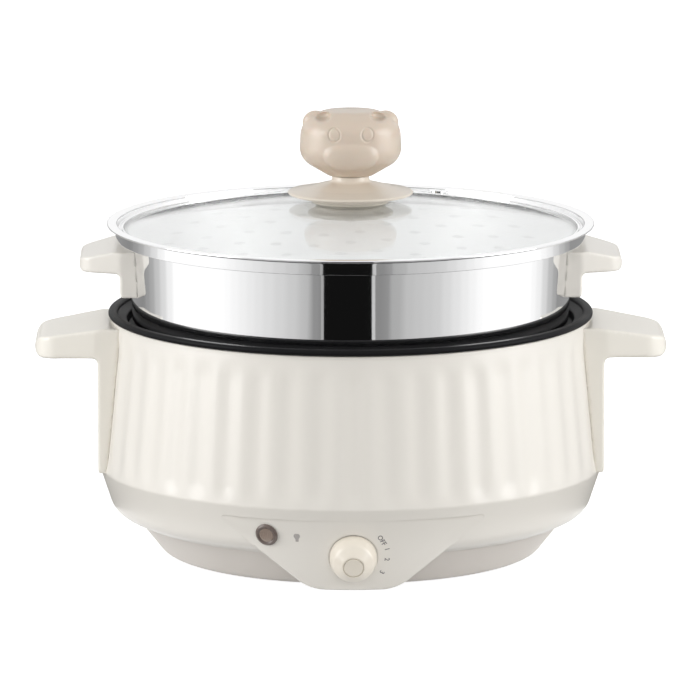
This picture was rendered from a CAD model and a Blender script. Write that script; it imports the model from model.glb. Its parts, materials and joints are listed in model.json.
# %% [markdown]
# # An electric hot pot with a steamer tier and a glass lid
#
# The pot is a moulded cream housing with soft flutes, a black non-stick pan, a mirror-polished
# steel tier and a domed glass lid. The working parts come ready made as the frame. This notebook
# gives the parts that show their final form and finish, and then lights and frames the pot as a
# product shot.

# %% Load the frame
import json
import math

import bmesh
import bpy
from mathutils import Matrix, Vector


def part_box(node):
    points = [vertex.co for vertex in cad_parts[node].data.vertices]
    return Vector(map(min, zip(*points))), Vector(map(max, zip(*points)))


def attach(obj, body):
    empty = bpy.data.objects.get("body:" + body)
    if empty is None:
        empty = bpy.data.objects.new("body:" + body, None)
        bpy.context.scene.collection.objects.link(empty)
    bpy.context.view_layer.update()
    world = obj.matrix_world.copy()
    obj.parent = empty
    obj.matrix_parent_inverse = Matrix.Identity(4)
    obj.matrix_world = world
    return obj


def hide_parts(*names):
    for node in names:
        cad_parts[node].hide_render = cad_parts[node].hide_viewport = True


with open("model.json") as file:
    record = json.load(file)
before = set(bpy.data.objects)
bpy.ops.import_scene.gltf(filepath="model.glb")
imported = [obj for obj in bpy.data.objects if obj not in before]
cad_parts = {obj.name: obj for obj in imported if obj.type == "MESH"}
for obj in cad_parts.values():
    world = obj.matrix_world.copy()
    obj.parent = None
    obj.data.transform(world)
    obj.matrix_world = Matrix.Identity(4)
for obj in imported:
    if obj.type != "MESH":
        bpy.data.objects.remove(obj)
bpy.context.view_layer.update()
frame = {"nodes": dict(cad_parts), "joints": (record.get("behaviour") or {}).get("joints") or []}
NODES = frame["nodes"]
MM = 0.001

# %% [markdown]
# ## Sizes
#
# A new piece has to sit exactly where the working part sits, so its sizes are read from the
# frame's boxes, and only the small offsets that a box can't tell are written here. Everything is
# in millimetres in the pot's own frame and becomes metres when a mesh is made.

# %% Sizes read from the frame


def low(node):
    """Lowest corner of a node's box, in millimetres."""
    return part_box(node)[0] / MM


def high(node):
    """Highest corner of a node's box, in millimetres."""
    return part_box(node)[1] / MM


PAN_RIM_R = high("inner_pan").x
PAN_TOP = high("inner_pan").z
STEAMER_R = high("steamer_shell").x
STEAMER_TOP = high("steamer_shell").z
STEAMER_FLOOR = low("steamer_shell").z
HOUSING_TOP = high("housing").z
BODY_R = high("housing").x
BASE_Z = low("base_cover").z
COVER_R = high("base_cover").x
HOOP_R = high("lid_hoop").x
HOOP_LOW = low("lid_hoop").z
print("pan rim", round(PAN_RIM_R, 1), "steamer rim", round(STEAMER_R, 1),
      "housing", round(BODY_R, 1))

# %% [markdown]
# ## Shaping tools
#
# Nearly every part of a pot is round, so the main tool turns a cross-section about the pot's
# axis. Corners are given a radius, and each straight stretch gets a support point close to its
# ends. These keep the smooth shading flat on the straight stretch, which matters on polished
# steel.

# %% Shaping tools
ARC_STEPS = 6
SUPPORT = 0.5
SUPPORT_FROM = 3.0
MERGE_DIST = 0.002
EMPTY_EDGE = 0.0005
WELD_DIST = 0.004
SMALL_STEPS = 128
ROUND_STEPS = 256

# Edges that turn by more than this many degrees are drawn sharp.
CREASE = 35
FINE_CREASE = 30
WIDE_CREASE = 40
NO_CREASE = 180


def rounded(corners):
    """Points of a closed outline of (u, v, radius) corners, with arcs and support points."""
    count = len(corners)
    points = []
    for i, (u, v, radius) in enumerate(corners):
        here = Vector((u, v))
        if radius <= 0:
            points.append(here)
            continue
        back = (Vector(corners[i - 1][:2]) - here).normalized()
        ahead = (Vector(corners[(i + 1) % count][:2]) - here).normalized()
        half = back.angle(ahead) / 2
        middle = here + (back + ahead).normalized() * (radius / math.sin(half))
        start = here + back * (radius / math.tan(half)) - middle
        turn = math.pi - 2 * half
        sign = 1 if back.x * ahead.y - back.y * ahead.x < 0 else -1
        for k in range(ARC_STEPS + 1):
            a = sign * turn * k / ARC_STEPS
            c, s = math.cos(a), math.sin(a)
            points.append(middle + Vector((start.x * c - start.y * s, start.x * s + start.y * c)))
    return supported(points)


def supported(points):
    """Adds a point near both ends of every long straight stretch of a closed outline."""
    result = []
    for point, following in zip(points, points[1:] + points[:1]):
        result.append(point)
        span = (following - point).length
        if span > SUPPORT_FROM:
            result.append(point.lerp(following, SUPPORT / span))
            result.append(point.lerp(following, 1 - SUPPORT / span))
    return result


def turned(corners, steps):
    """bmesh of a cross-section of (radius, height, rounding) corners spun about the pot's axis."""
    bm = bmesh.new()
    ring = [bm.verts.new((p.x * MM, 0, p.y * MM)) for p in rounded(corners)]
    edges = [bm.edges.new(pair) for pair in zip(ring, ring[1:] + ring[:1])]
    bmesh.ops.spin(bm, geom=ring + edges, cent=(0, 0, 0), axis=(0, 0, 1), angle=2 * math.pi,
                   steps=steps, use_merge=True, use_duplicate=False)
    return cleaned(bm)


def cleaned(bm):
    """Merges doubles, drops empty faces and turns the faces outwards."""
    bmesh.ops.remove_doubles(bm, verts=bm.verts, dist=MERGE_DIST * MM)
    bmesh.ops.dissolve_degenerate(bm, edges=bm.edges, dist=EMPTY_EDGE * MM)
    bmesh.ops.recalc_face_normals(bm, faces=bm.faces)
    return bm


def pushed(points, shift):
    """bmesh of a flat outline pushed along a vector, both in millimetres."""
    bm = bmesh.new()
    face = bm.faces.new([bm.verts.new(Vector(point) * MM) for point in points])
    result = bmesh.ops.extrude_face_region(bm, geom=[face])
    moved = [e for e in result["geom"] if isinstance(e, bmesh.types.BMVert)]
    bmesh.ops.translate(bm, verts=moved, vec=Vector(shift) * MM)
    return bm


def block(corners, near, far):
    """bmesh of an outline of (x, z, rounding) corners pushed from one depth to another."""
    return cleaned(pushed([(p.x, near, p.y) for p in rounded(corners)], (0, far - near, 0)))


def shade(mesh, crease):
    """Smooth shading that stays sharp at edges over the crease angle."""
    mesh.shade_smooth()
    mesh.set_sharp_from_angle(angle=math.radians(crease))


def make_object(name, bm, crease=CREASE):
    """Mesh object from a bmesh, which is freed."""
    mesh = bpy.data.meshes.new(name)
    bm.to_mesh(mesh)
    bm.free()
    shade(mesh, crease)
    piece = bpy.data.objects.new(name, mesh)
    bpy.context.scene.collection.objects.link(piece)
    return piece


def mount(piece, body, slot, material, *nodes):
    """Gives a piece its finish, its body and the working parts that it stands for."""
    piece.data.materials.clear()
    piece.data.materials.append(material)
    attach(piece, body)
    if nodes:
        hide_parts(*nodes)
    print(f"{piece.name}: {len(piece.data.polygons)} faces on {body}")
    return piece


def settle(piece):
    """Applies a piece's modifiers, so its mesh is final."""
    graph = bpy.context.evaluated_depsgraph_get()
    mesh = bpy.data.meshes.new_from_object(piece.evaluated_get(graph))
    piece.modifiers.clear()
    piece.data = mesh
    return piece


def combine(piece, tool, operation):
    """Cuts a piece with another closed mesh, or joins it, and deletes the tool."""
    modifier = piece.modifiers.new(operation.lower(), "BOOLEAN")
    modifier.object = tool
    modifier.operation = operation
    modifier.solver = "EXACT"
    settle(piece)
    bpy.data.objects.remove(tool)
    return piece


def copied(node):
    """bmesh of a working part's mesh, with its loose triangles merged."""
    bm = bmesh.new()
    bm.from_mesh(NODES[node].data)
    bmesh.ops.remove_doubles(bm, verts=bm.verts, dist=WELD_DIST * MM)
    return bm


def remeshed(piece, voxel):
    """Gives a piece an even mesh, which also melts bodies that overlap into one."""
    even = piece.modifiers.new("even", "REMESH")
    even.mode = "VOXEL"
    even.voxel_size = voxel * MM
    settle(piece)


def smoothed(piece, rounds, weight=None):
    """Smooths a piece's mesh, by a weight from 0 to 1 at each point where one is given."""
    smooth = piece.modifiers.new("soften", "SMOOTH")
    smooth.factor = 0.5
    smooth.iterations = rounds
    if weight:
        group = piece.vertex_groups.new(name="soft")
        for vert in piece.data.vertices:
            group.add([vert.index], weight(vert.co / MM), "REPLACE")
        smooth.vertex_group = "soft"
    settle(piece)


def softened(node, name, voxel, rounds, weight):
    """A working part copied, evenly remeshed and smoothed, so its edges look moulded."""
    piece = make_object(name, copied(node), NO_CREASE)
    remeshed(piece, voxel)
    smoothed(piece, rounds, weight)
    piece.data.shade_smooth()
    return piece


# %% [markdown]
# ## Effects that the finishes share
#
# Moulded plastic is never perfectly smooth: it has a faint orange peel from the tool and slow
# changes in gloss where it was handled. Metal has fine scratches. Each effect is a node group
# with named inputs, so every material can use it at its own scale and strength.

# %% Effect groups
PEEL = (900.0, 0.04)
BUMP_REACH = 0.0001
WEAR_SCALE = 120.0
WEAR_REACH = 0.56
MIX_FIRST, MIX_SECOND, MIX_RESULT = 6, 7, 2


def new_group(name, inputs, outputs):
    """Empty shader node group with float, colour or vector sockets."""
    kinds = {"float": "NodeSocketFloat", "color": "NodeSocketColor", "vector": "NodeSocketVector"}
    group = bpy.data.node_groups.new(name, "ShaderNodeTree")
    for label, kind, value in inputs:
        socket = group.interface.new_socket(label, in_out="INPUT", socket_type=kinds[kind])
        socket.default_value = value
    for label, kind in outputs:
        group.interface.new_socket(label, in_out="OUTPUT", socket_type=kinds[kind])
    entry = group.nodes.new("NodeGroupInput")
    leave = group.nodes.new("NodeGroupOutput")
    return group, entry, leave


def noise_in(group, scale_from, detail=3.0, rough=0.5):
    """Noise on object coordinates whose scale comes from a socket."""
    place = group.nodes.new("ShaderNodeTexCoord")
    noise = group.nodes.new("ShaderNodeTexNoise")
    noise.inputs["Detail"].default_value = detail
    noise.inputs["Roughness"].default_value = rough
    group.links.new(place.outputs["Object"], noise.inputs["Vector"])
    group.links.new(scale_from, noise.inputs["Scale"])
    return noise


def orange_peel_group():
    """Faint waviness of a moulded surface, as a normal."""
    group, entry, leave = new_group(
        "orange_peel", [("Scale", "float", PEEL[0]), ("Depth", "float", PEEL[1])],
        [("Normal", "vector")])
    noise = noise_in(group, entry.outputs["Scale"], 2.0, 0.4)
    bump = group.nodes.new("ShaderNodeBump")
    bump.inputs["Distance"].default_value = BUMP_REACH
    group.links.new(noise.outputs["Fac"], bump.inputs["Height"])
    group.links.new(entry.outputs["Depth"], bump.inputs["Strength"])
    group.links.new(bump.outputs["Normal"], leave.inputs["Normal"])
    return group


def handling_group():
    """Slow patches of duller gloss from handling, as a roughness between two values."""
    group, entry, leave = new_group(
        "handling", [("Scale", "float", 18.0), ("Smooth", "float", 0.2), ("Dull", "float", 0.3)],
        [("Roughness", "float")])
    noise = noise_in(group, entry.outputs["Scale"], 1.0, 0.4)
    spread = group.nodes.new("ShaderNodeMapRange")
    spread.interpolation_type = "SMOOTHSTEP"
    spread.inputs["From Min"].default_value = 0.2
    spread.inputs["From Max"].default_value = 0.8
    group.links.new(noise.outputs["Fac"], spread.inputs["Value"])
    group.links.new(entry.outputs["Smooth"], spread.inputs["To Min"])
    group.links.new(entry.outputs["Dull"], spread.inputs["To Max"])
    group.links.new(spread.outputs["Result"], leave.inputs["Roughness"])
    return group


def edge_group():
    """Mask that is white on worn convex edges, broken up by noise."""
    group, entry, leave = new_group(
        "edge_wear", [("Scale", "float", WEAR_SCALE), ("Reach", "float", WEAR_REACH)],
        [("Mask", "float")])
    geometry = group.nodes.new("ShaderNodeNewGeometry")
    noise = noise_in(group, entry.outputs["Scale"], 3.0)
    sharp = group.nodes.new("ShaderNodeMapRange")
    sharp.inputs["From Max"].default_value = 0.72
    sharp.clamp = True
    times = group.nodes.new("ShaderNodeMath")
    times.operation = "MULTIPLY"
    group.links.new(geometry.outputs["Pointiness"], sharp.inputs["Value"])
    group.links.new(entry.outputs["Reach"], sharp.inputs["From Min"])
    group.links.new(sharp.outputs["Result"], times.inputs[0])
    group.links.new(noise.outputs["Fac"], times.inputs[1])
    group.links.new(times.outputs["Value"], leave.inputs["Mask"])
    return group


def colour_mix(tree, factor, first, second):
    """Mixes two colours, each of them a socket or a plain colour."""
    mix = tree.nodes.new("ShaderNodeMix")
    mix.data_type = "RGBA"
    tree.links.new(factor, mix.inputs["Factor"])
    for index, colour in ((MIX_FIRST, first), (MIX_SECOND, second)):
        if isinstance(colour, tuple):
            mix.inputs[index].default_value = (*colour, 1)
        else:
            tree.links.new(colour, mix.inputs[index])
    return mix.outputs[MIX_RESULT]


def tint_group():
    """Two close shades of a colour mixed by large soft noise."""
    group, entry, leave = new_group(
        "tint", [("Scale", "float", 9.0), ("Light", "color", (0.8, 0.8, 0.8, 1)),
                 ("Deep", "color", (0.7, 0.7, 0.7, 1))], [("Color", "color")])
    noise = noise_in(group, entry.outputs["Scale"], 2.0)
    mixed = colour_mix(group, noise.outputs["Fac"], entry.outputs["Light"], entry.outputs["Deep"])
    group.links.new(mixed, leave.inputs["Color"])
    return group


ORANGE_PEEL = orange_peel_group()
HANDLING = handling_group()
EDGE_WEAR = edge_group()
TINT = tint_group()

# %% [markdown]
# ## Finishes
#
# One function starts every material: a Principled shader fed by the effect groups. The colours
# are linear values. The cream of the housing is a warm off-white with a clear, soft gloss.

# %% Finishes
TINT_SCALE = 9.0
MARK_SCALE = 16.0
CLEAR_SHARE = 0.08
GLASS_IOR = 1.28


def effect(material, group, **values):
    """Places an effect group in a material with its own values."""
    node = material.node_tree.nodes.new("ShaderNodeGroup")
    node.node_tree = group
    for label, value in values.items():
        node.inputs[label].default_value = value
    return node


def finish(name, light, deep, smooth, dull, peel=PEEL, **shader):
    """Principled material with a tint, handling marks and a fine surface."""
    material = bpy.data.materials.new(name)
    material.use_nodes = True
    tree = material.node_tree
    bsdf = tree.nodes["Principled BSDF"]
    tint = effect(material, TINT, Scale=TINT_SCALE, Light=(*light, 1), Deep=(*deep, 1))
    marks = effect(material, HANDLING, Scale=MARK_SCALE, Smooth=smooth, Dull=dull)
    skin = effect(material, ORANGE_PEEL, Scale=peel[0], Depth=peel[1])
    tree.links.new(tint.outputs["Color"], bsdf.inputs["Base Color"])
    tree.links.new(marks.outputs["Roughness"], bsdf.inputs["Roughness"])
    tree.links.new(skin.outputs["Normal"], bsdf.inputs["Normal"])
    for label, value in shader.items():
        bsdf.inputs[label.replace("_", " ")].default_value = value
    return material


def worn(material, colour):
    """Mixes a second colour into a material along its convex edges."""
    tree = material.node_tree
    bsdf = tree.nodes["Principled BSDF"]
    source = bsdf.inputs["Base Color"].links[0].from_socket
    mask = effect(material, EDGE_WEAR, Scale=WEAR_SCALE, Reach=WEAR_REACH)
    mixed = colour_mix(tree, mask.outputs["Mask"], source, colour)
    tree.links.new(mixed, bsdf.inputs["Base Color"])


cream = finish("cream_plastic", (0.80, 0.768, 0.71), (0.79, 0.758, 0.70), 0.33, 0.38,
               Coat_Weight=0.3, Coat_Roughness=0.12)
knob_cream = finish("knob_cream", (0.64, 0.54, 0.44), (0.625, 0.525, 0.43), 0.32, 0.37,
                    Subsurface_Weight=0.1, Subsurface_Scale=0.004,
                    Coat_Weight=0.2, Coat_Roughness=0.12)
skirt_cream = finish("skirt_cream", (0.70, 0.63, 0.54), (0.685, 0.615, 0.525), 0.32, 0.37,
                     Coat_Weight=0.3, Coat_Roughness=0.1)
dial_cream = finish("dial_cream", (0.80, 0.74, 0.64), (0.79, 0.73, 0.63), 0.32, 0.37,
                    Coat_Weight=0.3, Coat_Roughness=0.1)
handle_cream = finish("handle_cream", (0.85, 0.815, 0.74), (0.84, 0.805, 0.73), 0.33, 0.38,
                      Coat_Weight=0.3, Coat_Roughness=0.12)
pale_grey = finish("cover_grey", (0.76, 0.715, 0.665), (0.74, 0.695, 0.645), 0.42, 0.5)
nonstick = finish("nonstick_black", (0.008, 0.008, 0.009), (0.010, 0.010, 0.011), 0.42, 0.5,
                  peel=(2600.0, 0.12), Specular_IOR_Level=0.08)
worn(nonstick, (0.03, 0.03, 0.032))
mirror_steel = finish("mirror_steel", (0.93, 0.93, 0.93), (0.92, 0.92, 0.925), 0.03, 0.05,
                      peel=(400.0, 0.01), Metallic=1.0)
satin_steel = finish("satin_steel", (0.93, 0.93, 0.93), (0.91, 0.91, 0.915), 0.3, 0.36,
                     Metallic=1.0)

# The steel inside the tier glows a little, in place of the light that bounces about in there.
tier_inside = finish("tier_inside", (0.93, 0.93, 0.93), (0.91, 0.91, 0.915), 0.3, 0.36,
                     Metallic=0.7, Emission_Color=(1, 1, 1, 1), Emission_Strength=0.14)
plain_steel = finish("plain_steel", (0.55, 0.55, 0.55), (0.48, 0.48, 0.48), 0.28, 0.4, Metallic=1.0)
aluminium = finish("sheet_aluminium", (0.7, 0.7, 0.71), (0.64, 0.64, 0.65), 0.35, 0.5, Metallic=1.0)
brass = finish("plain_brass", (0.62, 0.45, 0.18), (0.55, 0.39, 0.15), 0.29, 0.36, Metallic=1.0)
dark_plastic = finish("dark_plastic", (0.03, 0.028, 0.027), (0.04, 0.037, 0.035), 0.3, 0.42)
bezel_brown = finish("bezel_brown", (0.15, 0.115, 0.10), (0.13, 0.10, 0.085), 0.3, 0.36)
lens_mauve = finish("lens_mauve", (0.44, 0.35, 0.29), (0.40, 0.31, 0.26), 0.12, 0.2,
                    Transmission_Weight=0.2, Coat_Weight=0.4)
silicone = finish("silicone", (0.62, 0.58, 0.50), (0.57, 0.53, 0.45), 0.35, 0.5)
foot_rubber = finish("foot_rubber", (0.32, 0.31, 0.30), (0.27, 0.26, 0.25), 0.6, 0.75)
print_grey = finish("print_grey", (0.13, 0.12, 0.125), (0.16, 0.15, 0.155), 0.5, 0.6)
print_pale = finish("print_pale", (0.40, 0.375, 0.36), (0.43, 0.40, 0.38), 0.5, 0.6)


def clear_glass():
    """Clear glass with a small share that lets rays straight through."""
    material = bpy.data.materials.new("tempered_glass")
    material.use_nodes = True
    tree = material.node_tree
    bsdf = tree.nodes["Principled BSDF"]
    marks = effect(material, HANDLING, Scale=12.0, Smooth=0.0, Dull=0.015)
    tree.links.new(marks.outputs["Roughness"], bsdf.inputs["Roughness"])
    bsdf.inputs["Base Color"].default_value = (0.97, 0.98, 0.975, 1)
    bsdf.inputs["Transmission Weight"].default_value = 1.0
    bsdf.inputs["IOR"].default_value = GLASS_IOR
    clear = tree.nodes.new("ShaderNodeBsdfTransparent")
    clear.inputs["Color"].default_value = (0.985, 0.985, 0.985, 1)
    mix = tree.nodes.new("ShaderNodeMixShader")
    mix.inputs["Fac"].default_value = CLEAR_SHARE
    tree.links.new(bsdf.outputs["BSDF"], mix.inputs[1])
    tree.links.new(clear.outputs["BSDF"], mix.inputs[2])
    tree.links.new(mix.outputs["Shader"], tree.nodes["Material Output"].inputs["Surface"])
    return material


glass = clear_glass()

# %% [markdown]
# ## Working parts that keep their own mesh
#
# Screws, pins and the parts inside the base are already right. Each only gets its real finish.
# Their meshes are never touched: assigning to the material slot is enough.

# %% Finishes for the working parts
NODE_FINISH = {
    plain_steel: ["base_screws", "pan_studs", "shield_nuts", "bracket_screws", "thermostat_bracket",
                  "fuse_clip", "handle_screws", "switch_screws", "lamp_clip", "inlet_screws",
                  "steamer_handle_screws", "lid_screw", "heating_element"],
    aluminium: ["heat_shield"],
    brass: ["inlet_pins", "knob_insert"],
    dark_plastic: ["thermostat", "switch_body"],
    silicone: ["knob_gasket", "cup_gasket", "switch_shaft", "switch_rotor", "thermal_fuse",
               "lamp_bulb"],
    foot_rubber: ["rubber_feet"],
    mirror_steel: ["steamer_shell", "vent_eyelet", "lid_hoop"],
    satin_steel: ["steamer_floor"],
    bezel_brown: ["lamp_bezel"],
    lens_mauve: ["lamp_lens"],
    cream: ["inlet_shroud", "housing", "handle_left", "handle_right", "steamer_handle_left",
            "steamer_handle_right", "lid_inner_cup", "lid_skirt"],
    knob_cream: ["lid_knob"],
    dial_cream: ["dial_knob"],
    pale_grey: ["base_cover"],
    nonstick: ["inner_pan"],
    glass: ["lid_glass"],
}
for material, names in NODE_FINISH.items():
    for name in names:
        slots = NODES[name].material_slots
        for slot in slots:
            slot.material = material
print("finished", sum(len(v) for v in NODE_FINISH.values()), "of", len(NODES), "nodes")

# %% [markdown]
# ## The housing
#
# The bowl is one moulding: a wall that flares down to a crease and curls in below it. It is spun
# from its section with many steps, and then each vertex of the outer wall moves in by a soft
# wave that runs round the pot and fades out at the top and the bottom. That gives 48 flutes with
# no edge between them, as a polished tool leaves them.

# %% The fluted bowl
WALL = 2.6
CREASE_R = BODY_R
CREASE_Z = BASE_Z + 53.6
BELLY_R = 146.6
BELLY_Z = BASE_Z + 27.1
BELLY_ROUND = 13.0
COVER_FOOT_R = 115.5
COVER_SIDE = 23.5
LIP_OUT = 1.2
LIP_Z = BASE_Z + 21.3
TOP_R = 147.0
EDGE_RISE = 2.0
FLUTES = 48
FLUTE_DEPTH = 1.0
FLUTE_FADE = 14.0
FLUTE_LOW = CREASE_Z - 2.0
FLUTE_HIGH = HOUSING_TOP - 2.0
BOWL_STEPS = 768
RING_EVERY = 3.0


def smooth_step(value):
    """0 to 1 with soft ends."""
    t = min(max(value, 0.0), 1.0)
    return t * t * (3 - 2 * t)


def cover_r(z):
    """Outer radius of the base cover's sloping side."""
    return COVER_FOOT_R + (COVER_R - COVER_FOOT_R) * (z - BASE_Z) / COVER_SIDE


def belly_r(z):
    """Radius of the bowl's side between its belly and its crease."""
    return BELLY_R + (CREASE_R - BELLY_R) * (z - BELLY_Z) / (CREASE_Z - BELLY_Z)


def bowl_wall_r(z):
    """Radius of the fluted side."""
    return CREASE_R + (TOP_R - CREASE_R) * (z - CREASE_Z) / (HOUSING_TOP - CREASE_Z)


def fluted_bowl():
    """bmesh of the turned bowl with its flutes pressed into the outer wall."""
    lip_r = cover_r(LIP_Z) + LIP_OUT
    rings = range(1, int((HOUSING_TOP - CREASE_Z) / RING_EVERY))
    heights = [HOUSING_TOP - RING_EVERY * k for k in rings]
    side = [(bowl_wall_r(z), z, 0) for z in heights]
    edge_z = HOUSING_TOP + EDGE_RISE
    outer = [(TOP_R, edge_z, 0.8), (TOP_R, HOUSING_TOP, 0)] + side + [
        (CREASE_R, CREASE_Z, 5.0), (BELLY_R, BELLY_Z, BELLY_ROUND), (lip_r, LIP_Z, 0.5)]
    inner = [(lip_r - 0.4, LIP_Z + WALL, 0.5), (BELLY_R - WALL, BELLY_Z + WALL, BELLY_ROUND - WALL),
             (CREASE_R - WALL, CREASE_Z, 4.0), (TOP_R - WALL, edge_z, 0.8)]
    bm = turned(outer + inner, BOWL_STEPS)
    for vert in bm.verts:
        x, y, z = vert.co / MM
        r = math.hypot(x, y)
        if z < FLUTE_LOW or z > FLUTE_HIGH or r < bowl_wall_r(z) - WALL / 2:
            continue
        fade = smooth_step((z - FLUTE_LOW) / FLUTE_FADE)
        fade *= smooth_step((FLUTE_HIGH - z) / FLUTE_FADE)
        wave = 0.5 + 0.5 * math.cos(FLUTES * math.atan2(x, -y))
        pull = 1 - FLUTE_DEPTH * fade * wave / r
        vert.co.x *= pull
        vert.co.y *= pull
    return bm


housing = make_object("fluted_housing", fluted_bowl())

# %% [markdown]
# ## The control panel
#
# The chin at the front is part of the same moulding. Its face leans down and is curved a little
# tighter than the bowl, so it is flush in the middle of its top edge and sinks in towards the
# ends. It is made as a flat block with softened edges, cut into a grid, and wrapped round the
# pot by moving its vertices. Cutting its outline out of the bowl and joining the block gives one
# closed mesh.

# %% The wrapped panel block
PANEL_TOP = BASE_Z + 46.8
PANEL_BOTTOM = BASE_Z + 1.9
PANEL_TOP_HALF = 83.0
PANEL_BOTTOM_HALF = 26.0
PANEL_ROUND = 26.0
PANEL_TILT = math.radians(15)
PANEL_CURVE_R = 141.0
PANEL_AXIS_Y = -12.0
BELLY_LOW = BELLY_Z + 1.0
PANEL_SIDE_HALF = PANEL_BOTTOM_HALF + (PANEL_TOP_HALF - PANEL_BOTTOM_HALF) * (
    (BELLY_LOW - PANEL_BOTTOM) / (PANEL_TOP - PANEL_BOTTOM))
PANEL_OUTLINE = [
    (-PANEL_TOP_HALF, PANEL_TOP, 2.0), (-PANEL_SIDE_HALF, BELLY_LOW, 0),
    (-PANEL_BOTTOM_HALF, PANEL_BOTTOM, PANEL_ROUND), (PANEL_BOTTOM_HALF, PANEL_BOTTOM, PANEL_ROUND),
    (PANEL_SIDE_HALF, BELLY_LOW, 0), (PANEL_TOP_HALF, PANEL_TOP, 2.0)]
PANEL_GRID = 2.0
PANEL_EDGE = 1.0
PANEL_BLEND = 9.0
BELLY_FADE = 8.0
BACK_FROM = LIP_Z + 4
BACK_GAP = 0.4
BACK_SLOPE = 0.45
CUT_FRONT_Y = -180
CUT_BACK_Y = -100
STRETCH = 10


def panel_y(x, z):
    """Y of the panel's face."""
    r = PANEL_CURVE_R - (PANEL_TOP - z) * math.tan(PANEL_TILT)
    return PANEL_AXIS_Y - math.sqrt(r * r - x * x)


def panel_back_y(x, z):
    """Y of the back of the moulding behind the panel: the cover below, the bowl's inside above."""
    r = cover_r(min(z, BACK_FROM)) + BACK_GAP + BACK_SLOPE * max(z - BACK_FROM, 0)
    return -math.sqrt(r * r - x * x)


def panel_side(x, z):
    """Distance from a point of the panel to its nearer sloping side, inwards."""
    slope = Vector((PANEL_TOP_HALF - PANEL_BOTTOM_HALF, PANEL_TOP - PANEL_BOTTOM)).normalized()
    return (PANEL_TOP_HALF - abs(x)) * slope.y - (PANEL_TOP - z) * slope.x


def panel_front_y(x, z):
    """The panel's face, melted into the bowl along its sloping sides above the belly."""
    r = belly_r(z)
    bowl_y = -math.sqrt(r * r - x * x)
    inside = smooth_step(panel_side(x, z) / PANEL_BLEND)
    share = max(inside, 1 - smooth_step((z - BELLY_LOW) / BELLY_FADE))
    return bowl_y + (panel_y(x, z) - bowl_y) * share


def grid_cut(bm, start, stop, step, axis):
    """Cuts a mesh with evenly spaced planes along an axis."""
    normal = Vector((axis == "x", axis == "y", axis == "z"))
    for k in range(int((stop - start) / step) + 1):
        geometry = bm.verts[:] + bm.edges[:] + bm.faces[:]
        bmesh.ops.bisect_plane(bm, geom=geometry, plane_no=normal,
                               plane_co=normal * (start + step * k) * MM)


def panel_block():
    """bmesh of the panel wrapped round the pot, stretched in depth while its rim is bevelled."""
    bm = block(PANEL_OUTLINE, 0, 1)
    front = [f for f in bm.faces if f.normal.y < -0.9]
    rim = {e for f in front for e in f.edges}
    rim = [e for e in rim if max(v.co.z for v in e.verts) <= (BELLY_LOW + 0.01) * MM]
    bmesh.ops.scale(bm, vec=(1, STRETCH, 1), verts=bm.verts)
    bmesh.ops.bevel(bm, geom=rim, offset=PANEL_EDGE * MM, offset_type="OFFSET", segments=3,
                    profile=0.5, affect="EDGES", material=-1)
    bmesh.ops.scale(bm, vec=(1, 1 / STRETCH, 1), verts=bm.verts)
    grid_cut(bm, -PANEL_TOP_HALF + 1, PANEL_TOP_HALF, PANEL_GRID, "x")
    grid_cut(bm, PANEL_BOTTOM + 1, PANEL_TOP, PANEL_GRID, "z")
    for vert in bm.verts:
        x, depth, z = vert.co / MM
        near, far = panel_front_y(x, z), panel_back_y(x, z)
        vert.co.y = (near + (far - near) * depth) * MM
    return bm


cutter = make_object("panel_cutter", block(PANEL_OUTLINE, CUT_FRONT_Y, CUT_BACK_Y))
combine(housing, cutter, "DIFFERENCE")
combine(housing, make_object("panel_block", panel_block()), "UNION")

# %% [markdown]
# ## The dial's place
#
# A dial sits in a shallow round recess, and the gap round it reads as a thin dark line. The
# recess and the dial are drawn about the upright axis and then turned onto the axis of the
# frame's own joint.

# %% The dial's recess
DIAL_Z = BASE_Z + 23.6
DIAL_R = 14.2
RECESS_R = DIAL_R + 0.9
RECESS_DEPTH = 1.2
RECESS_REACH = 12
RECESS_STEPS = 96


def dial_frame():
    """Matrix that moves a drawing from the XY plane to the dial's joint, the first, in metres."""
    joint = frame["joints"][0]
    turn = Vector((0, 0, 1)).rotation_difference(Vector(joint["axis"]))
    return Matrix.Translation(Vector(joint["pos_m"])) @ turn.to_matrix().to_4x4()


DIAL_FRAME = dial_frame()
recess = turned([(0, -RECESS_DEPTH, 0), (RECESS_R, -RECESS_DEPTH, 0),
                 (RECESS_R, RECESS_REACH, 0), (0, RECESS_REACH, 0)], RECESS_STEPS)
bmesh.ops.transform(recess, matrix=DIAL_FRAME, verts=recess.verts)
combine(housing, make_object("dial_recess", recess), "DIFFERENCE")
shade(housing.data, FINE_CREASE)
mount(housing, "base", "body_plastic", cream, "housing")

# %% [markdown]
# ## The base cover
#
# The light grey cover closes the housing from below. It is a plain turned shell. Its vents and
# screw holes are on the working part, so the visible piece is cut from a copy of it.

# %% The base cover keeps the working part's form
cover = make_object("base_cover_shell", copied("base_cover"), FINE_CREASE)
mount(cover, "base", "cover_plastic", pale_grey, "base_cover")

# %% [markdown]
# ## The non-stick pan
#
# The pan hangs by a fat rounded rim. Inside the rim the wall drops to a ledge that carries the
# steamer. The section goes round the rim, down the inside, and back up the outside.

# %% The pan
PAN_WALL = 2.2
PAN_RIM = 3.7
PAN_FLOOR = PAN_TOP - 108.5
PAN_LEDGE = PAN_TOP - 9.9


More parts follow.
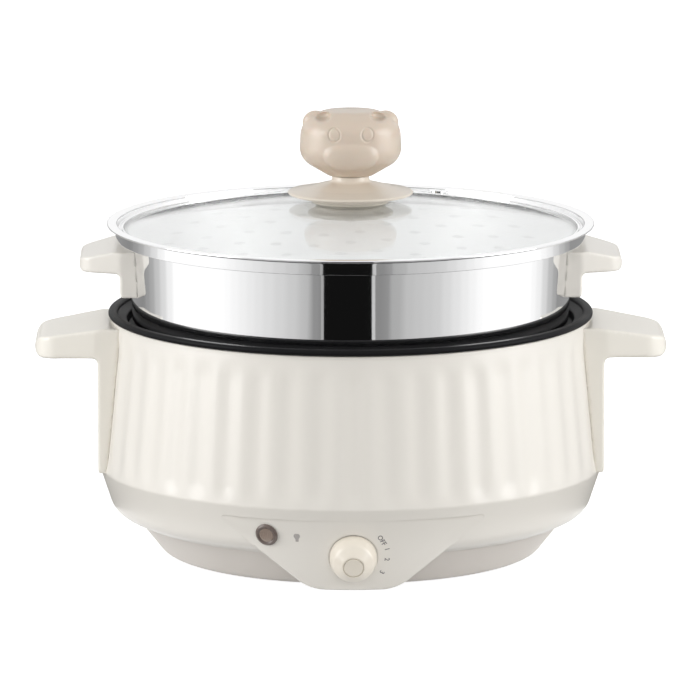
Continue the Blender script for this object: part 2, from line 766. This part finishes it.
def pan_section():
    """Corners of the pan's section: the rim, the inside down to the floor, and the outside."""
    inner = [(137.8, PAN_TOP - 4.6, 2.0), (137.4, PAN_LEDGE, 1.2), (129.6, PAN_LEDGE - 0.4, 2.6),
             (124.5, PAN_FLOOR, 18.0), (0, PAN_FLOOR, 0)]
    outer = [(0, PAN_FLOOR - PAN_WALL, 0), (126.7, PAN_FLOOR - PAN_WALL, 20.0),
             (131.6, PAN_LEDGE - 3, 3.0), (139.6, PAN_LEDGE - 2.6, 1.5),
             (140.4, PAN_TOP - 6.0, 2.0)]
    rim = [(143.8, PAN_TOP - PAN_RIM, 0.6), (PAN_RIM_R, PAN_TOP - PAN_RIM, 1.7),
           (PAN_RIM_R, PAN_TOP, 1.9), (143.6, PAN_TOP, 2.0), (143.4, PAN_TOP - 2.6, 0.5)]
    return rim + inner + outer


pan = make_object("pan_dish", turned(pan_section(), ROUND_STEPS))
mount(pan, "base", "nonstick_coating", nonstick, "inner_pan")

# %% [markdown]
# ## The steamer tier
#
# The steel is thin and polished like a mirror, so the smallest ripple in its shading would show.
# Its wall is spun with fine steps. The perforated floor keeps the working part's form, which has
# the holes.

# %% The steel tier
STEEL = 1.0
BAND_Z = STEAMER_TOP - 9.6
BAND_R = 144.6
FLANGE = 1.4
FLOOR_R = 120.0
FOOT_R = 134.2
STEP_R = 137.4
TIER_STEPS = 384
INSIDE_BELOW = STEAMER_TOP - 2
FACES_UP = 0.7


def tier_section():
    """Corners of the tier's section: down the outside to the floor's edge, and back up inside."""
    outer = [(STEAMER_R, STEAMER_TOP, 0.65), (STEAMER_R, STEAMER_TOP - FLANGE, 0.65),
             (BAND_R, STEAMER_TOP - FLANGE - 0.3, 1.2), (BAND_R, BAND_Z, 0.25),
             (STEP_R, BAND_Z - 0.2, 1.0), (FOOT_R, STEAMER_FLOOR, 5.0), (FLOOR_R, STEAMER_FLOOR, 0)]
    inner = [(FLOOR_R, STEAMER_FLOOR + STEEL, 0), (FOOT_R - STEEL, STEAMER_FLOOR + STEEL, 4.0),
             (STEP_R - STEEL, BAND_Z + STEEL, 1.0), (BAND_R - STEEL, BAND_Z + STEEL, 0.5),
             (BAND_R - STEEL, STEAMER_TOP, 1.0)]
    return outer + inner


tier = make_object("tier_wall", turned(tier_section(), TIER_STEPS), WIDE_CREASE)
mount(tier, "steamer", "steamer_steel", mirror_steel, "steamer_shell")
tier.data.materials.append(tier_inside)
for face in tier.data.polygons:
    inwards = face.normal.x * face.center.x + face.normal.y * face.center.y < 0
    if (inwards or face.normal.z > FACES_UP) and face.center.z < INSIDE_BELOW * MM:
        face.material_index = 1
floor_plate = make_object("tier_floor", copied("steamer_floor"), WIDE_CREASE)
mount(floor_plate, "steamer", "steamer_steel", tier_inside, "steamer_floor")

# %% [markdown]
# ## The lid
#
# The glass is a shallow dome held in a folded steel hoop. Both are turned. The dome's section is
# an arc worked out from the crown radius, because a sphere's cap is what a pressed lid is.

# %% Glass and hoop
CROWN = 600.0
GLASS = 4.0
GLASS_R = 140.2
GLASS_TOP = high("lid_glass").z
GLASS_HOLE = 3.2
DOME_STOPS = 40
UNDER_GAP = 0.1


def glass_z(r, below=0.0):
    """Height of the glass at a radius, on its upper face or below it."""
    return GLASS_TOP - CROWN + math.sqrt((CROWN - below) ** 2 - r * r)


def glass_section():
    """Points of the dome's section, out along the upper face and back along the lower one."""
    span = GLASS_R - GLASS_HOLE
    stops = [GLASS_HOLE + span * k / DOME_STOPS for k in range(DOME_STOPS + 1)]
    upper = [(r, glass_z(r), 0) for r in stops]
    lower = [(r, glass_z(r, GLASS), 0) for r in reversed(stops)]
    return upper + lower


def hoop_section():
    """Corners of the folded hoop that grips the glass's edge."""
    top = glass_z(GLASS_R)
    under = glass_z(GLASS_R, GLASS) - UNDER_GAP
    lip = [(139.7, top + 0.15, 0), (139.8, top + 1.0, 0.3), (140.8, top + 0.9, 0.2)]
    groove = [(141.0, top - 0.7, 0.2), (141.6, top - 0.7, 0.2)]
    bead = [(141.8, top + 0.9, 0.4), (HOOP_R, top + 0.7, 0.6), (HOOP_R, HOOP_LOW + 0.3, 0.5),
            (138.8, HOOP_LOW, 0.4), (136.4, HOOP_LOW, 0.3), (136.4, under, 0.1)]
    return lip + groove + bead + [(140.4, under, 0), (140.4, top + 0.15, 0)]


dome = make_object("glass_dome", turned(glass_section(), ROUND_STEPS), WIDE_CREASE)
mount(dome, "lid", "lid_glass", glass, "lid_glass")
hoop = make_object("lid_hoop_ring", turned(hoop_section(), ROUND_STEPS), WIDE_CREASE)
mount(hoop, "lid", "hoop_steel", mirror_steel, "lid_hoop")

# %% [markdown]
# ## The knob
#
# The knob is a plain animal head on a skirt. The head is soft everywhere, so it is built from a
# few rounded bodies that a voxel remesh melts together, and smoothing rounds the joins. The
# skirt is turned: a thin disc with a raised cone in its middle.

# %% Skirt, cup and head
HEAD_LOW = low("lid_knob").z
HEAD_HALF = high("lid_knob").x
HEAD_HEIGHT = 41.0
HEAD_DEPTH = 26.0
HEAD_TOP = HEAD_LOW + HEAD_HEIGHT
HEAD_VOXEL = 0.45
HEAD_ROUNDS = 12
EAR_X = 21.5
EAR_Z = HEAD_TOP - 8.2
EAR_SIZE = (8.0, 5.5, 7.5)
MUZZLE_Y = -HEAD_DEPTH + 5.6
MUZZLE_Z = HEAD_LOW + HEAD_HEIGHT * 0.38
MUZZLE_SIZE = (17.0, 7.2, 10.5)
HOLLOW_X = 17.6
HOLLOW_Y = -7.0
HOLLOW_Z = HEAD_TOP - 2.6
HOLLOW_SIZE = (5.0, 4.0, 2.8)


def ball(bm, centre, size):
    """Adds a stretched sphere to a bmesh."""
    shape = Matrix.Translation(Vector(centre) * MM) @ Matrix.Diagonal((*(Vector(size) * MM), 1))
    bmesh.ops.create_uvsphere(bm, u_segments=64, v_segments=40, radius=1.0, matrix=shape)


def head_body():
    """Turned section stretched to the head's depth."""
    z = HEAD_LOW
    bm = turned([(0, z, 0), (13.3, z, 3.0), (HEAD_HALF, z + HEAD_HEIGHT * 0.26, 12.0),
                 (HEAD_HALF * 0.97, z + HEAD_HEIGHT * 0.80, 13.0),
                 (HEAD_HALF * 0.55, z + HEAD_HEIGHT - 0.6, 14.0), (0, z + HEAD_HEIGHT, 0)],
                SMALL_STEPS)
    bmesh.ops.scale(bm, vec=(1, HEAD_DEPTH / HEAD_HALF, 1), verts=bm.verts)
    return bm


head_bm = head_body()
for side in (-1, 1):
    ball(head_bm, (side * EAR_X, 0, EAR_Z), EAR_SIZE)
ball(head_bm, (0, MUZZLE_Y, MUZZLE_Z), MUZZLE_SIZE)
head = make_object("knob_head", head_bm, NO_CREASE)
remeshed(head, HEAD_VOXEL)
for vert in head.data.vertices:
    x, y, z = vert.co / MM
    u = (abs(x) - HOLLOW_X) / HOLLOW_SIZE[0]
    w = (z - HOLLOW_Z) / HOLLOW_SIZE[2]
    if u * u + w * w < 1:
        back = HOLLOW_Y + HOLLOW_SIZE[1] * math.sqrt(1 - u * u - w * w)
        vert.co.y = max(y, min(back, 0)) * MM
smoothed(head, HEAD_ROUNDS)

# %% [markdown]
# The eyes are round grooves. They are pressed into the smoothed head by moving the vertices that
# lie in a ring about each eye, so their edges stay soft.

# %% Eyes
EYE_X = 10.1
EYE_Z = HEAD_TOP - 12.6
EYE_R = 3.6
EYE_SHAPE = (0.96, 1.12)
EYE_GROOVE = 0.9
EYE_DEPTH = 0.55
for vert in head.data.vertices:
    x, y, z = vert.co / MM
    away = math.hypot((abs(x) - EYE_X) / EYE_SHAPE[0], (z - EYE_Z) / EYE_SHAPE[1])
    ring = abs(away - EYE_R)
    if y < 0 and ring < EYE_GROOVE:
        vert.co.y += EYE_DEPTH * (1 - smooth_step(ring / EYE_GROOVE)) * MM
head.data.shade_smooth()
mount(head, "lid", "knob_plastic", knob_cream, "lid_knob")

skirt = make_object("knob_skirt", copied("lid_skirt"), FINE_CREASE)
mount(skirt, "lid", "body_plastic", skirt_cream, "lid_skirt")

# %% [markdown]
# ## Handles
#
# The grips are thick soft mouldings. The working part has their form with crisp edges, so a copy
# is remeshed evenly and smoothed, which rounds every edge by about the same radius, as a mould
# does.

# %% Handles
TOUCH = 0.4
FREE_OVER = 2.0
SEATED = 0.05
BOWL_SEAT = 1.2
TIER_SEAT = 0.3
GRIP_VOXEL, GRIP_ROUNDS = 0.8, 22
TIER_VOXEL, TIER_ROUNDS = 0.6, 20


def off_bowl(point):
    """0 where a point touches the bowl, 1 from about 2 mm away."""
    gap = math.hypot(point.x, point.y) - bowl_wall_r(point.z)
    return smooth_step((gap - TOUCH) / FREE_OVER)


def off_tier(point):
    """0 where a point touches the steamer's wall, 1 from about 2 mm away."""
    wall = FOOT_R + (STEP_R - FOOT_R) * (point.z - STEAMER_FLOOR) / (BAND_Z - STEAMER_FLOOR)
    return smooth_step((math.hypot(point.x, point.y) - wall - TOUCH) / FREE_OVER)


def seat(piece, gap_of, depth):
    """Pushes the faces that lie against a wall slightly into it, so no gap shows there."""
    for vert in piece.data.vertices:
        if gap_of(vert.co / MM) < SEATED:
            pull = 1 - depth * MM / vert.co.xy.length
            vert.co.x *= pull
            vert.co.y *= pull


for side in ("left", "right"):
    grip = softened(f"handle_{side}", f"grip_{side}", GRIP_VOXEL, GRIP_ROUNDS, off_bowl)
    seat(grip, off_bowl, BOWL_SEAT)
    mount(grip, "base", "body_plastic", handle_cream, f"handle_{side}")
    small = softened(f"steamer_handle_{side}", f"tier_grip_{side}", TIER_VOXEL, TIER_ROUNDS,
                     off_tier)
    seat(small, off_tier, TIER_SEAT)
    mount(small, "steamer", "body_plastic", cream, f"steamer_handle_{side}")

# %% [markdown]
# ## The dial
#
# The dial is a domed button with a ring cut round its flat tip. It is turned about the frame's
# own joint axis, so it stays on that axis when it is posed.

# %% Dial
dial_bm = turned([
    (0, -0.6, 0), (DIAL_R, -0.6, 0.4), (DIAL_R, 3.6, 3.0), (12.4, 9.4, 5.0), (6.9, 14.2, 2.0),
    (6.2, 14.3, 0.2), (6.1, 13.5, 0.1), (5.8, 13.5, 0.1), (5.7, 14.4, 0.3), (0, 14.6, 0)],
    SMALL_STEPS)
bmesh.ops.transform(dial_bm, matrix=DIAL_FRAME, verts=dial_bm.verts)
dial = make_object("dial_dome", dial_bm, WIDE_CREASE)
mount(dial, "dial", "dial_plastic", dial_cream, "dial_knob")

# %% [markdown]
# ## Marks on the panel
#
# The dial's marks stand on an arc round it and turn with the arc. A small lamp sign stands
# beside the pilot lamp. All are thin flat meshes laid on the panel's face.

# %% Marks
PRINT = 0.06
PRINT_BOLD = 0.04
MARK_SIZE = 4.2
MARKS = [("OFF", 17.1, 37.7), ("1", 20.2, 32.0), ("2", 20.2, 25.4), ("3", 17.2, 17.2)]
SIGN_PLACE = (-33.9, 39.3)


def panel_matrix(x, z, turn):
    """Matrix that lays a flat drawing on the panel's face, turned about its normal."""
    here = Vector((x, panel_front_y(x, z), z))
    across = Vector((x + 0.5, panel_front_y(x + 0.5, z), z)) - here
    up = Vector((x, panel_front_y(x, z + 0.5), z + 0.5)) - here
    across.normalize()
    normal = across.cross(up).normalized()
    up = normal.cross(across)
    basis = Matrix((across, up, normal)).transposed().to_4x4()
    return Matrix.Translation(here * MM) @ basis @ Matrix.Rotation(turn, 4, "Z")


def lay(bm, x, z, turn, name, material):
    """Places a flat drawing on the panel as a piece of the base."""
    bmesh.ops.transform(bm, matrix=panel_matrix(x, z, turn), verts=bm.verts)
    return mount(make_object(name, bm), "base", "bezel_plastic", material)


def lettering(text, size):
    """bmesh of a short text, centred on the origin."""
    curve = bpy.data.curves.new(text, "FONT")
    curve.body = text
    curve.size = size * MM
    curve.align_x, curve.align_y = "CENTER", "CENTER"
    curve.extrude = PRINT * MM
    curve.offset = PRINT_BOLD * MM
    writer = bpy.data.objects.new(text, curve)
    bpy.context.scene.collection.objects.link(writer)
    bpy.context.view_layer.update()
    bm = bmesh.new()
    bm.from_mesh(writer.to_mesh())
    writer.to_mesh_clear()
    bpy.data.objects.remove(writer)
    return bm


def lamp_sign():
    """bmesh of a small bulb: a disc with a narrower foot."""
    half = [(0.9, -3.0, 0.3), (0.95, -1.4, 0.3), (2.0, 0.4, 1.0), (1.7, 2.2, 1.2)]
    mirrored = [(-x, y, rounding) for x, y, rounding in reversed(half)]
    outline = rounded(mirrored[-1:] + half + mirrored[:-1])
    bm = pushed([(p.x, p.y, PRINT) for p in outline], (0, 0, -2 * PRINT))
    bmesh.ops.recalc_face_normals(bm, faces=bm.faces)
    return bm


for text, x, z in MARKS:
    turn = math.atan2(z - DIAL_Z, x) - math.pi / 2
    lay(lettering(text, MARK_SIZE), x, z, turn, "mark_" + text, print_grey)
lay(lamp_sign(), *SIGN_PLACE, 0, "lamp_sign", print_pale)

# %% [markdown]
# ## Light, floor and camera
#
# The pot is lit as in a catalogue: two large soft boxes from the sides, weaker ones from the
# front and above, and a white surround. Cards that only mirror rays see give the polished steel
# something dark and something bright to show, because polished metal looks like metal only by
# what it mirrors.

# %% Floor
FLOOR_HALF = 8
FLOOR_GREY = (0.5, 0.5, 0.5, 1)
FLOOR_ROUGH = 0.9
FLOOR_LIFT = 0.93


def math_node(tree, operation, *values):
    """Maths node on sockets or numbers."""
    node = tree.nodes.new("ShaderNodeMath")
    node.operation = operation
    for socket, value in zip(node.inputs, values):
        if isinstance(value, (int, float)):
            socket.default_value = value
        else:
            tree.links.new(value, socket)
    return node.outputs["Value"]


def light_path_any(tree, *kinds):
    """Socket that is 1 for rays of any of the given kinds."""
    path = tree.nodes.new("ShaderNodeLightPath")
    result = path.outputs[f"Is {kinds[0]} Ray"]
    for kind in kinds[1:]:
        result = math_node(tree, "MAXIMUM", result, path.outputs[f"Is {kind} Ray"])
    return result


def add_floor():
    """White floor: grey to the light that falls on it, evenly lit to the rays that see it."""
    bm = bmesh.new()
    bmesh.ops.create_grid(bm, x_segments=1, y_segments=1, size=FLOOR_HALF)
    floor = make_object("floor", bm)
    material = bpy.data.materials.new("floor_white")
    material.use_nodes = True
    tree = material.node_tree
    bsdf = tree.nodes["Principled BSDF"]
    bsdf.inputs["Base Color"].default_value = FLOOR_GREY
    bsdf.inputs["Roughness"].default_value = FLOOR_ROUGH
    bsdf.inputs["Specular IOR Level"].default_value = 0.0
    bsdf.inputs["Emission Color"].default_value = (1, 1, 1, 1)
    seen = light_path_any(tree, "Camera", "Glossy", "Transmission")
    lift = math_node(tree, "MULTIPLY", seen, FLOOR_LIFT)
    tree.links.new(lift, bsdf.inputs["Emission Strength"])
    floor.data.materials.append(material)


add_floor()

# %% [markdown]
# ### Cards for the steel
#
# The steel wall leans out a little, so the camera sees the floor about half a metre away in it.
# A ring of cards lies there outside the picture. Its brightness changes with the direction:
# black in front, for the dark band that makes steel look like steel, then grey, then white at
# the sides. Only mirror rays see it. An upright black card behind the camera calms the middle of
# the housing in the same way.

# %% Cards
CARD_NEAR = 0.42
CARD_FAR = 2.4
CARD_KEYS = [
    (-180, 0.35), (-134, 0.26), (-122, 0.40), (-110, 0.72), (-98, 1.12), (-68, 1.12), (-55, 0.95),
    (-42, 0.78), (-30, 0.64), (-24, 0.55), (-18, 0.30), (-14.6, 0.26), (-14.5, 0.40), (-13.3, 0.40),
    (-13.2, 0.006), (9.3, 0.006), (9.4, 0.60), (10.9, 0.60), (11.0, 0.26), (15, 0.28), (19, 0.43),
    (26, 0.55), (40, 0.65), (55, 0.90), (68, 1.12), (97, 1.12), (106, 0.95), (118, 0.55),
    (130, 0.30), (180, 0.35)]
CARD_Z = 0.002
CARD_TURN = 5
DARK_NEAR = 0.19
DARK_GLOW = 0.05
DARK_STEPS = 64
UPRIGHT_HALF = 420
UPRIGHT_TOP = 1400
UPRIGHT_Y = -2600
UPRIGHT_GLOW = 0.02


def mirror_only(card):
    """Hides a card from all rays but mirror ones."""
    card.visible_camera = False
    card.visible_diffuse = False
    card.visible_transmission = False
    card.visible_shadow = False


def glowing(name, strength=1.0, attribute=None):
    """Plain emitting material; an attribute can set its strength over the mesh."""
    material = bpy.data.materials.new(name)
    material.use_nodes = True
    tree = material.node_tree
    tree.nodes.clear()
    glow = tree.nodes.new("ShaderNodeEmission")
    glow.inputs["Strength"].default_value = strength
    output = tree.nodes.new("ShaderNodeOutputMaterial")
    tree.links.new(glow.outputs["Emission"], output.inputs["Surface"])
    if attribute:
        reader = tree.nodes.new("ShaderNodeAttribute")
        reader.attribute_name = attribute
        tree.links.new(reader.outputs["Fac"], glow.inputs["Strength"])
    return material


def card_ring():
    """Ring of cards on the floor; directions count from the front towards the right."""
    bm = bmesh.new()
    layer = bm.verts.layers.float.new("glow")
    stops = []
    for (a, one), (b, two) in zip(CARD_KEYS, CARD_KEYS[1:]):
        steps = max(1, round((b - a) / CARD_TURN))
        stops += [(a + (b - a) * k / steps, one + (two - one) * k / steps) for k in range(steps)]
    stops.append(CARD_KEYS[-1])
    rows = []
    for angle, value in stops:
        way = Vector((math.sin(math.radians(angle)), -math.cos(math.radians(angle)), 0))
        row = [bm.verts.new(way * r + Vector((0, 0, CARD_Z))) for r in (CARD_NEAR, CARD_FAR)]
        for vert in row:
            vert[layer] = value
        rows.append(row)
    for one, two in zip(rows, rows[1:]):
        bm.faces.new((one[0], one[1], two[1], two[0]))
    return bm


def dark_ring():
    """Dark ring on the floor between the pot and the cards, for the steel's rolled edge."""
    near, far = DARK_NEAR / MM, CARD_NEAR / MM
    return turned([(near, 1, 0), (far, 1, 0), (far, 2, 0), (near, 2, 0)], DARK_STEPS)


inner_ring = make_object("dark_ring", dark_ring())
inner_ring.data.materials.append(glowing("dark_ring_glow", DARK_GLOW))
mirror_only(inner_ring)
ring = make_object("card_ring", card_ring())
ring.data.materials.append(glowing("card_ring_glow", attribute="glow"))
mirror_only(ring)
upright = make_object("upright_card", block(
    [(-UPRIGHT_HALF, 0, 0), (UPRIGHT_HALF, 0, 0), (UPRIGHT_HALF, UPRIGHT_TOP, 0),
     (-UPRIGHT_HALF, UPRIGHT_TOP, 0)], UPRIGHT_Y, UPRIGHT_Y - 1))
upright.data.materials.append(glowing("upright_card_black", UPRIGHT_GLOW))
mirror_only(upright)

# %% Lights
SIDE_X = 1.7
SIDE_POWER = 20
TOP_POWER = 0.5
FRONT_POWER = 12

# The dark band reaches higher in front, by the first value, and stands the second high all round.
BAND_REACH = (0.42, 0.07)
BAND_SOFT = 0.04
BAND_GLOW = 0.04
PLAIN_SKY = 0.5


def softbox(name, place, aim, size, power):
    """Rectangular area light that faces a point."""
    data = bpy.data.lights.new(name, "AREA")
    data.shape = "RECTANGLE"
    data.size, data.size_y = size
    data.energy = power
    lamp = bpy.data.objects.new(name, data)
    lamp.location = place
    lamp.rotation_euler = (Vector(aim) - Vector(place)).to_track_quat("-Z", "Y").to_euler()
    bpy.context.scene.collection.objects.link(lamp)
    return lamp


for name, x in (("box_left", -SIDE_X), ("box_right", SIDE_X)):
    softbox(name, (x, -0.45, 0.65), (0, 0, 0.12), (1.2, 1.2), SIDE_POWER)
softbox("box_top", (0, 0.2, 1.9), (0, 0, 0.15), (1.6, 1.2), TOP_POWER)
front_box = softbox("box_front", (0, -2.5, 0.7), (0, 0, 0.1), (2.0, 1.0), FRONT_POWER)
front_box.visible_glossy = False


def horizon(tree):
    """1 in the white sky, near 0 in a dark band along the horizon, wider behind the camera."""
    place = tree.nodes.new("ShaderNodeTexCoord")
    parts = tree.nodes.new("ShaderNodeSeparateXYZ")
    tree.links.new(place.outputs["Generated"], parts.inputs["Vector"])
    front = math_node(tree, "MAXIMUM", math_node(tree, "MULTIPLY", parts.outputs["Y"], -1.0), 0.0)
    edge = math_node(tree, "MULTIPLY_ADD", front, *BAND_REACH)
    ramp = tree.nodes.new("ShaderNodeMapRange")
    ramp.interpolation_type = "SMOOTHSTEP"
    ramp.inputs["From Min"].default_value = -BAND_SOFT
    ramp.inputs["From Max"].default_value = BAND_SOFT
    ramp.inputs["To Min"].default_value = BAND_GLOW
    tree.links.new(math_node(tree, "SUBTRACT", parts.outputs["Z"], edge), ramp.inputs["Value"])
    return ramp.outputs["Result"]


def surround():
    """World: white to the camera, white over a dark horizon to mirrors, and plain to the rest."""
    world = bpy.data.worlds.new("surround")
    bpy.context.scene.world = world
    world.use_nodes = True
    tree = world.node_tree
    tree.nodes.clear()
    plain = tree.nodes.new("ShaderNodeBackground")
    bright = tree.nodes.new("ShaderNodeBackground")
    for sky in (plain, bright):
        sky.inputs["Color"].default_value = (1, 1, 1, 1)
    plain.inputs["Strength"].default_value = PLAIN_SKY
    seen = math_node(tree, "MAXIMUM", horizon(tree), light_path_any(tree, "Camera", "Transmission"))
    tree.links.new(seen, bright.inputs["Strength"])
    mix = tree.nodes.new("ShaderNodeMixShader")
    output = tree.nodes.new("ShaderNodeOutputWorld")
    tree.links.new(light_path_any(tree, "Camera", "Glossy", "Transmission"), mix.inputs["Fac"])
    tree.links.new(plain.outputs["Background"], mix.inputs[1])
    tree.links.new(bright.outputs["Background"], mix.inputs[2])
    tree.links.new(mix.outputs["Shader"], output.inputs["Surface"])


surround()
bpy.context.scene.view_settings.view_transform = "Standard"

# %% [markdown]
# ## The camera
#
# The picture was taken from far away with a long lens: the ellipses of the rims give a distance
# of about four and a half metres and a view ten degrees down. The pot is turned by less than a
# degree.

# %% Camera
SENSOR = 36.0
FRAME_PIXELS = 700
FOCAL_PIXELS = 7402.0
DISTANCE = 4.5
HEIGHT = 0.9353
LOOK_DOWN = math.radians(10.18)
POT_TURN = math.radians(0.65)
ASIDE = 0.53 / FOCAL_PIXELS
CLIP_END = 50
camera_data = bpy.data.cameras.new("camera")
camera_data.sensor_width = SENSOR
camera_data.sensor_fit = "HORIZONTAL"
camera_data.lens = SENSOR * FOCAL_PIXELS / FRAME_PIXELS
camera_data.clip_end = CLIP_END
camera = bpy.data.objects.new("camera", camera_data)
bpy.context.scene.collection.objects.link(camera)
camera.location = (-DISTANCE * math.sin(POT_TURN), -DISTANCE * math.cos(POT_TURN), HEIGHT)
camera.rotation_euler = (math.pi / 2 - LOOK_DOWN, 0, -POT_TURN + ASIDE)
bpy.context.scene.camera = camera
